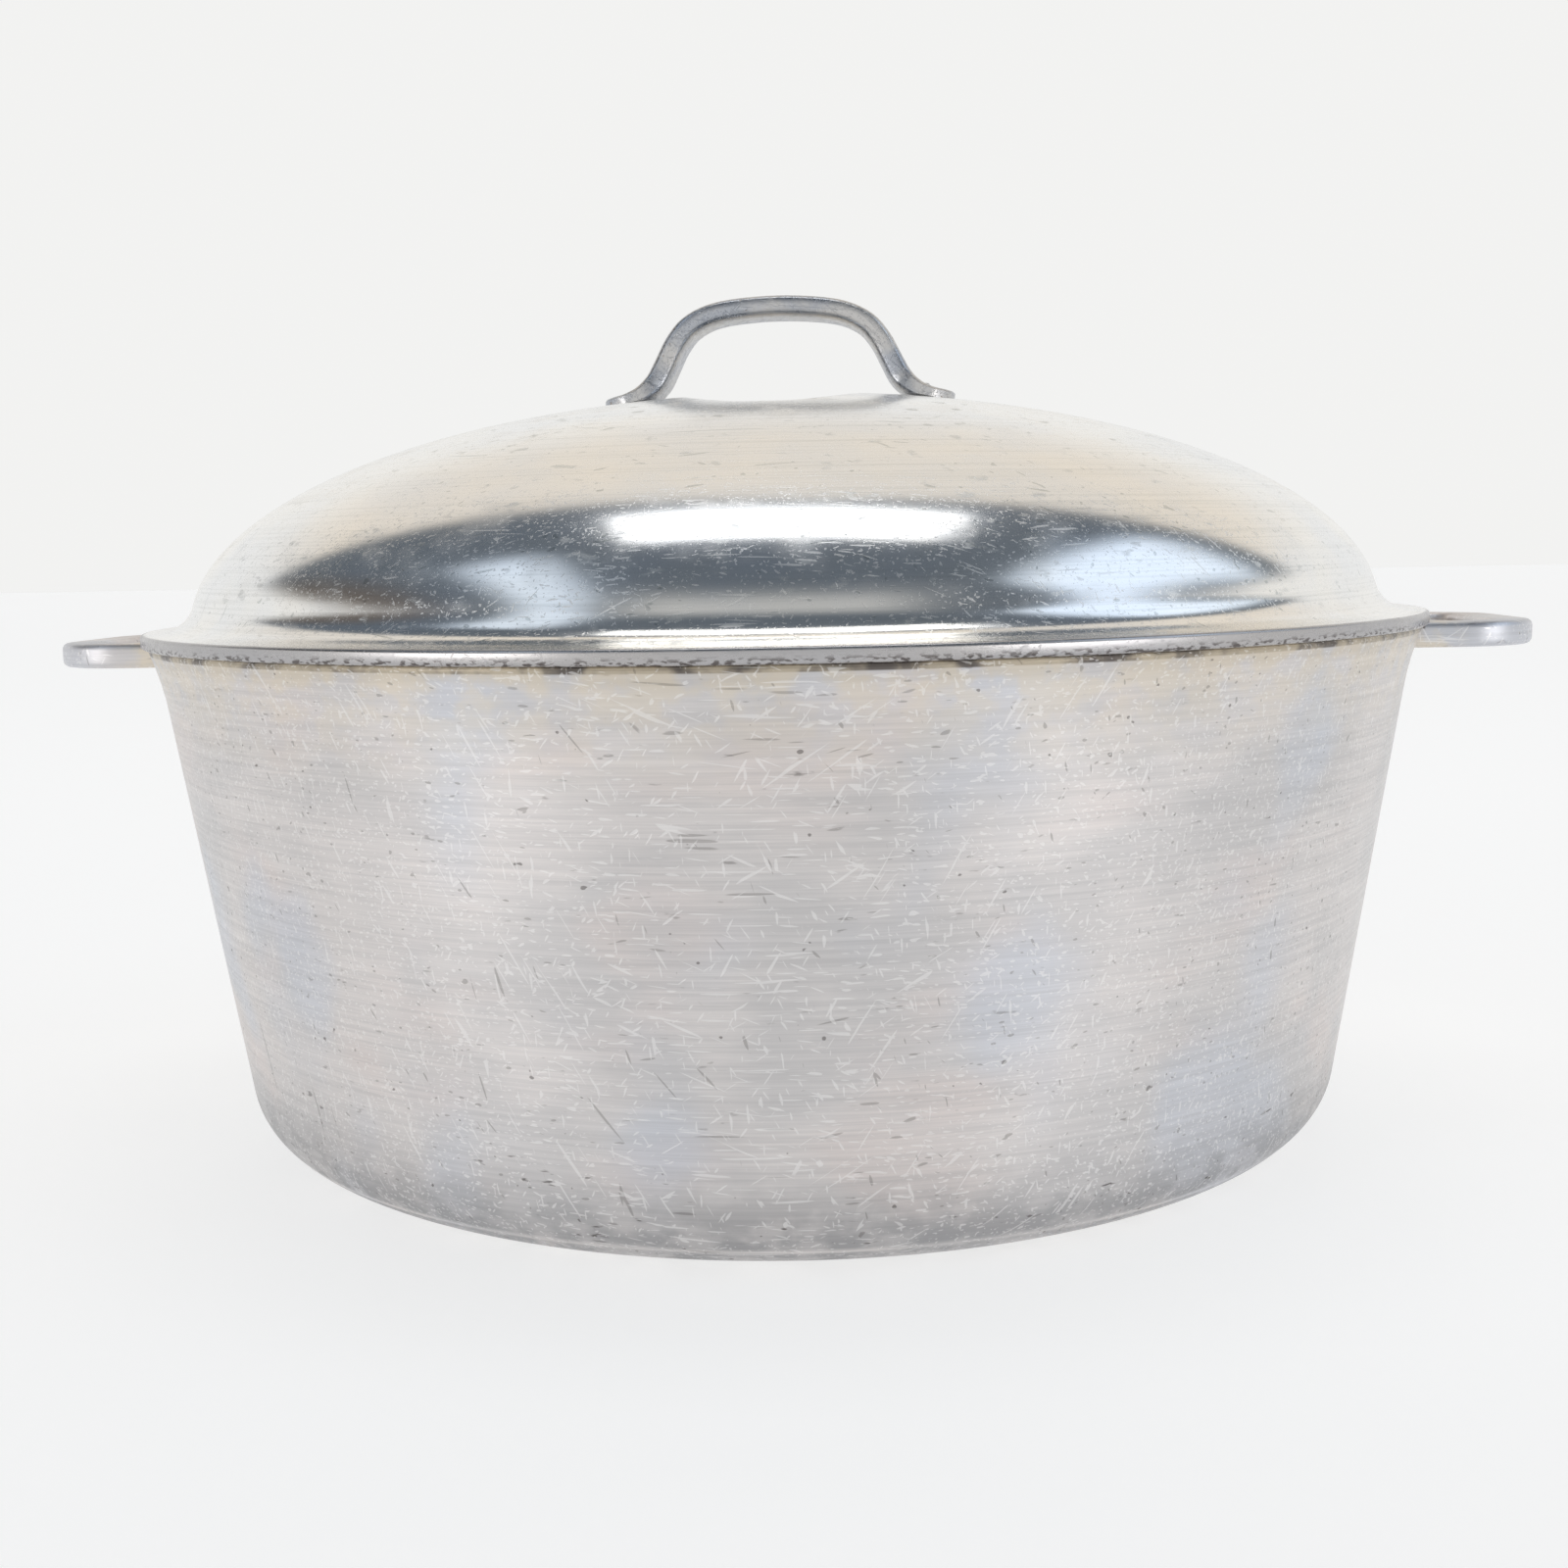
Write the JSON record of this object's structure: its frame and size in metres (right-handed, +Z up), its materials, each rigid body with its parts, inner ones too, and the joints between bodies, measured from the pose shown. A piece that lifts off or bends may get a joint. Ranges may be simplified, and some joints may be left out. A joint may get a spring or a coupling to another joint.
{
  "type": "covered dutch oven",
  "caption": "Round cast-aluminium dutch oven with two D-shaped loop lugs and a lift-off domed metal lid with a strap handle.",
  "frame": {"origin": "centre of the flat underside of the base", "axes": "+Z up out of the pot, X from lug to lug, -Y towards the viewer"},
  "size_m": [0.3074, 0.264, 0.1716],
  "materials": {
    "brushed_pot": "fine horizontal brushing, worn and scratched",
    "polished_lid": "polished, with fine scratches and specks",
    "worn_handle": "satin, worn bright on the edges",
    "rivet": "satin"
  },
  "bodies": {
    "pot": {"pot_body": "brushed_pot"},
    "lid": {"lid_shell": "polished_lid", "lid_handle": "worn_handle", "handle_rivets": "rivet"}
  },
  "joints": [
    {"name": "lid_lift", "type": "slide", "parent": "pot", "child": "lid", "axis": [0, 0, 1], "range_m": [0, 0.25]}
  ]
}
